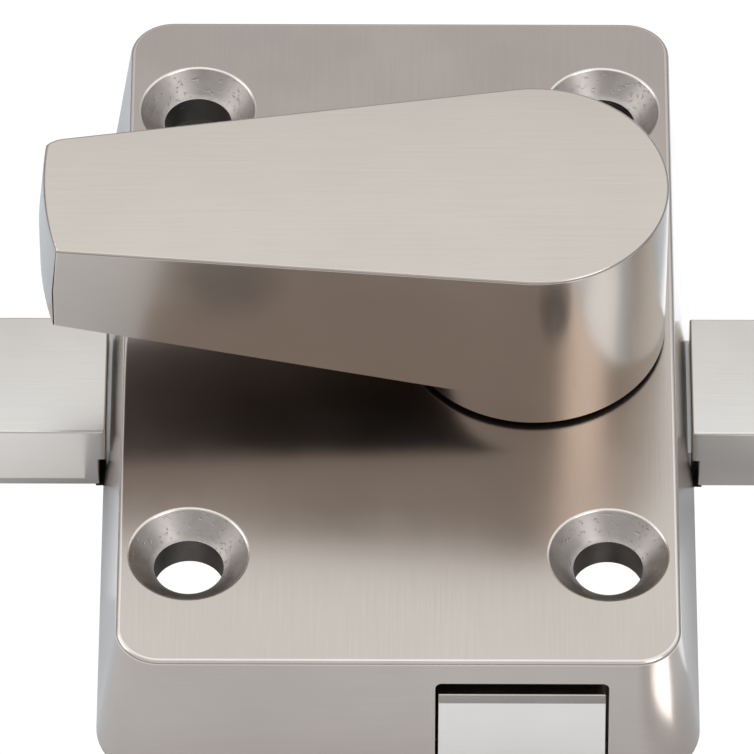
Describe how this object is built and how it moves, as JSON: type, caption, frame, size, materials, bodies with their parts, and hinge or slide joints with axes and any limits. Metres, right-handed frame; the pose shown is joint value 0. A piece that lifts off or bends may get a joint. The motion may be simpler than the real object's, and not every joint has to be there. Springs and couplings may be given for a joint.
{
  "type": "three way door latch",
  "caption": "Surface mounted door latch: a turn lever on a cast case drives two flat bars outwards and a bolt out of the front through a pinion and racks.",
  "frame": {"origin": "under the middle of the case, on the door face; the bars are as long on one side as on the other and the bolt is drawn in", "axes": "+X along the bars, towards the spindle side; +Y away from the bolt; +Z out of the door"},
  "size_m": [0.2498, 0.083, 0.0334],
  "materials": {
    "case_metal": "fine brushed, satin",
    "lever_metal": "brushed along the arm, satin",
    "bar_metal": "drawn, satin",
    "bolt_metal": "ground and polished",
    "rack_metal": "machined",
    "plate_metal": "stamped sheet",
    "screw_metal": "plain stainless",
    "bush_bronze": "machined bronze",
    "washer_plastic": "black nylon"
  },
  "bodies": {
    "case": {"housing": "case_metal", "back_plate": "plate_metal", "guide_plate": "plate_metal", "plate_spacers": "plate_metal", "plate_screws": "screw_metal", "rack_guide_pins": "screw_metal", "spindle_bush": "bush_bronze"},
    "turn_lever": {"lever": "lever_metal", "pinion_spindle": "rack_metal", "lever_screw": "screw_metal", "hub_washer": "washer_plastic", "thrust_washer": "screw_metal", "disc_springs": "screw_metal"},
    "left_slide": {"left_bar": "bar_metal", "left_rack": "rack_metal", "left_bar_screws": "screw_metal"},
    "right_slide": {"right_bar": "bar_metal", "right_rack": "rack_metal", "right_bar_screws": "screw_metal"},
    "bolt_slide": {"bolt": "bolt_metal", "bolt_rack": "rack_metal", "bolt_rivets": "screw_metal"}
  },
  "joints": [
    {"name": "lever_turn", "type": "hinge", "parent": "case", "child": "turn_lever", "pos_m": [0.0123, 0.0007, 0.0145], "axis": [0, 0, 1], "range_deg": [0, 90]},
    {"name": "left_bar_slide", "type": "slide", "parent": "case", "child": "left_slide", "axis": [-1, 0, 0], "range_m": [0, 0.00817]},
    {"name": "right_bar_slide", "type": "slide", "parent": "case", "child": "right_slide", "axis": [1, 0, 0], "range_m": [0, 0.00817]},
    {"name": "bolt_slide", "type": "slide", "parent": "case", "child": "bolt_slide", "axis": [0, -1, 0], "range_m": [0, 0.00817]}
  ],
  "couplings": [
    {"joint": "left_bar_slide", "follows": "lever_turn", "m_per_rad": 0.0052},
    {"joint": "right_bar_slide", "follows": "lever_turn", "m_per_rad": 0.0052},
    {"joint": "bolt_slide", "follows": "lever_turn", "m_per_rad": 0.0052}
  ]
}
